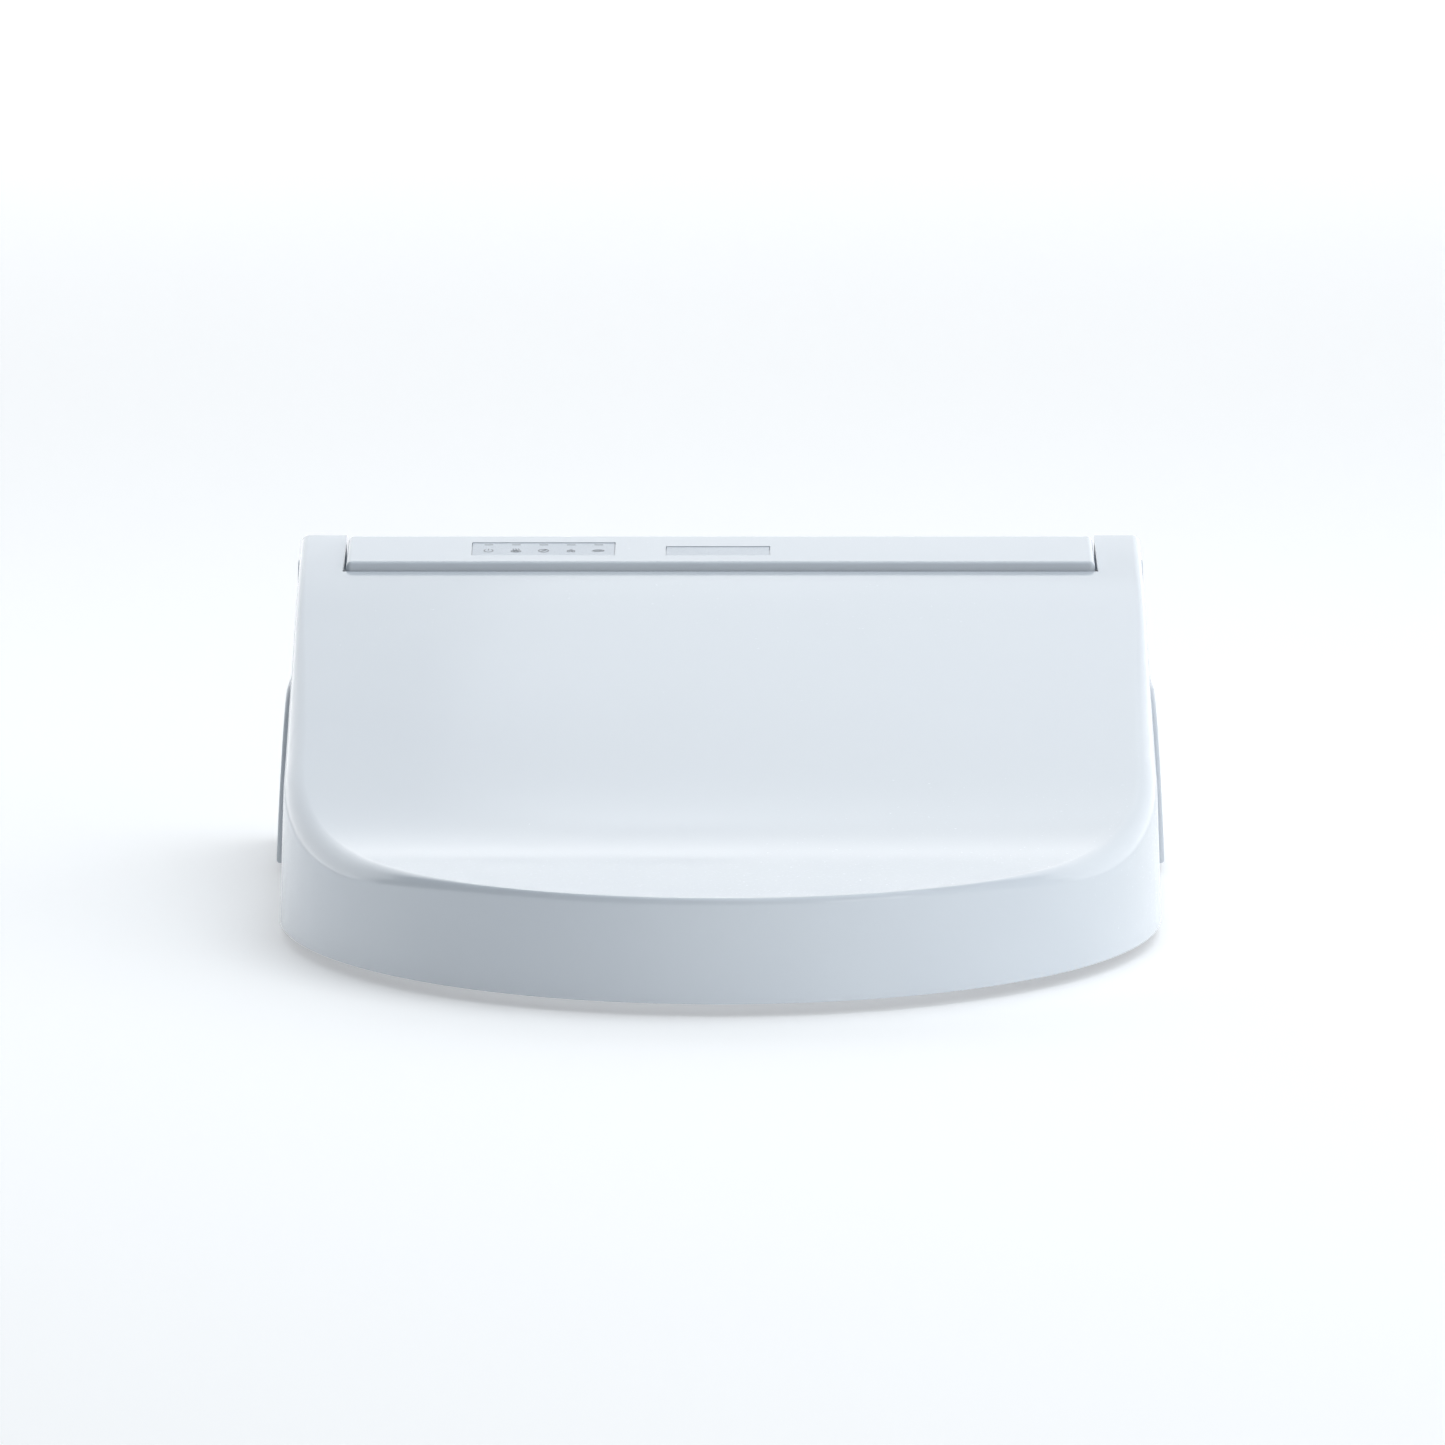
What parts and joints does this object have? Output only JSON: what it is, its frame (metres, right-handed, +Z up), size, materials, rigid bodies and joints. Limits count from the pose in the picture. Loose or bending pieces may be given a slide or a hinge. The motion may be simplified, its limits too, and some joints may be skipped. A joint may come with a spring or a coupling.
{
  "type": "electric bidet seat",
  "caption": "Elongated electric bidet seat with a wedge-shaped soft-closing lid, heated seat ring, slim rear unit and sliding spray nozzle.",
  "frame": {"origin": "bottom centre of the whole closed seat, on the plane of the rubber pads and the mounting plate", "axes": "+X to the right seen from the front, +Y from the front tip to the back, +Z up"},
  "size_m": [0.389, 0.53, 0.137],
  "materials": {
    "gloss_white_plastic": "glossy white plastic",
    "satin_white_plastic": "satin white plastic",
    "smoked_window": "smoked window",
    "printed_film": "printed film",
    "grey_rubber": "matte grey rubber",
    "black_plastic": "matte black plastic",
    "natural_nylon": "natural nylon",
    "clear_acrylic": "clear acrylic",
    "green_laminate": "green laminate",
    "stainless_steel": "brushed stainless steel",
    "aluminium_foil": "aluminium",
    "nickel_brass": "nickel-plated brass"
  },
  "bodies": {
    "mounting_plate": {"mounting_plate": "satin_white_plastic", "bolt_adjuster_left": "black_plastic", "bolt_adjuster_right": "black_plastic"},
    "unit": {"base_case": "satin_white_plastic", "body_sensor": "smoked_window", "case_screw_left_front": "stainless_steel", "case_screw_left_rear": "stainless_steel", "case_screw_right_front": "stainless_steel", "case_screw_right_rear": "stainless_steel", "cord_gland": "grey_rubber", "deodoriser_housing": "black_plastic", "dryer_duct": "black_plastic", "dryer_heater": "aluminium_foil", "dryer_housing": "black_plastic", "flow_selector": "natural_nylon", "front_fascia": "gloss_white_plastic", "indicator_board": "green_laminate", "indicator_panel": "printed_film", "inlet_elbow": "nickel_brass", "inlet_valve": "natural_nylon", "lid_damper": "black_plastic", "light_guide": "clear_acrylic", "main_board": "green_laminate", "name_plate": "printed_film", "nozzle_cradle": "natural_nylon", "nozzle_motor": "stainless_steel", "seat_damper": "black_plastic", "side_cover_left": "satin_white_plastic", "side_cover_right": "satin_white_plastic", "tank_lid": "natural_nylon", "top_cover": "gloss_white_plastic", "unit_foot_front_left": "grey_rubber", "unit_foot_front_right": "grey_rubber", "unit_foot_rear_left": "grey_rubber", "unit_foot_rear_right": "grey_rubber", "water_heater": "stainless_steel", "water_tank": "natural_nylon"},
    "seat": {"seat_top": "gloss_white_plastic", "seat_base": "satin_white_plastic", "seat_heater": "aluminium_foil", "seat_shaft": "stainless_steel", "seat_pad_front_left": "grey_rubber", "seat_pad_front_right": "grey_rubber", "seat_pad_rear_left": "grey_rubber", "seat_pad_rear_right": "grey_rubber"},
    "lid": {"lid_shell": "gloss_white_plastic", "lid_shaft": "stainless_steel", "lid_pad_left": "grey_rubber", "lid_pad_right": "grey_rubber"},
    "nozzle": {"nozzle_tube": "stainless_steel", "nozzle_tip": "gloss_white_plastic"},
    "shutter": {"shutter": "gloss_white_plastic"},
    "dryer_flap": {"dryer_flap": "gloss_white_plastic"},
    "drive_roller": {"drive_roller": "grey_rubber"},
    "filter_cartridge": {"filter_cartridge": "black_plastic"},
    "release_button": {"release_button": "satin_white_plastic"},
    "drain_knob": {"drain_knob": "satin_white_plastic"},
    "deodoriser_impeller": {"deodoriser_impeller": "natural_nylon"},
    "dryer_impeller": {"dryer_impeller": "natural_nylon"}
  },
  "joints": [
    {"name": "unit_slide", "type": "slide", "parent": "mounting_plate", "child": "unit", "axis": [0, -1, 0], "range_m": [0, 0.07]},
    {"name": "seat_hinge", "type": "hinge", "parent": "unit", "child": "seat", "pos_m": [0, 0.235, 0.1195], "axis": [-1, 0, 0], "range_deg": [0, 110]},
    {"name": "lid_hinge", "type": "hinge", "parent": "seat", "child": "lid", "pos_m": [0, 0.235, 0.1195], "axis": [1, 0, 0], "range_deg": [-110, 0]},
    {"name": "nozzle_slide", "type": "slide", "parent": "unit", "child": "nozzle", "axis": [0, -0.8192, -0.5736], "range_m": [0, 0.11]},
    {"name": "shutter_hinge", "type": "hinge", "parent": "unit", "child": "shutter", "pos_m": [0, 0.1181, 0.042], "axis": [-1, 0, 0], "range_deg": [0, 90]},
    {"name": "drive_roller_spin", "type": "hinge", "parent": "unit", "child": "drive_roller", "pos_m": [0, 0.17936, 0.08526], "axis": [1, 0, 0], "range_deg": [0, 800]},
    {"name": "dryer_flap_hinge", "type": "hinge", "parent": "unit", "child": "dryer_flap", "pos_m": [-0.055, 0.1181, 0.0355], "axis": [-1, 0, 0], "range_deg": [0, 80]},
    {"name": "filter_slide", "type": "slide", "parent": "unit", "child": "filter_cartridge", "axis": [0, -1, 0], "range_m": [0, 0.04]},
    {"name": "release_button_press", "type": "slide", "parent": "unit", "child": "release_button", "axis": [-1, 0, 0], "range_m": [0, 0.0035], "stiffness_N_per_m": 900, "springref_m": -0.002},
    {"name": "drain_knob_turn", "type": "hinge", "parent": "unit", "child": "drain_knob", "pos_m": [-0.1935, 0.232, 0.03], "axis": [-1, 0, 0], "range_deg": [0, 180]},
    {"name": "deodoriser_spin", "type": "hinge", "parent": "unit", "child": "deodoriser_impeller", "pos_m": [0.08, 0.1915, 0.02], "axis": [0, 0, 1], "continuous": true},
    {"name": "dryer_spin", "type": "hinge", "parent": "unit", "child": "dryer_impeller", "pos_m": [-0.055, 0.1915, 0.02], "axis": [0, 0, 1], "continuous": true}
  ],
  "couplings": [
    {"joint": "shutter_hinge", "follows": "nozzle_slide", "rad_per_m": 13.963},
    {"joint": "drive_roller_spin", "follows": "nozzle_slide", "rad_per_m": 125}
  ]
}
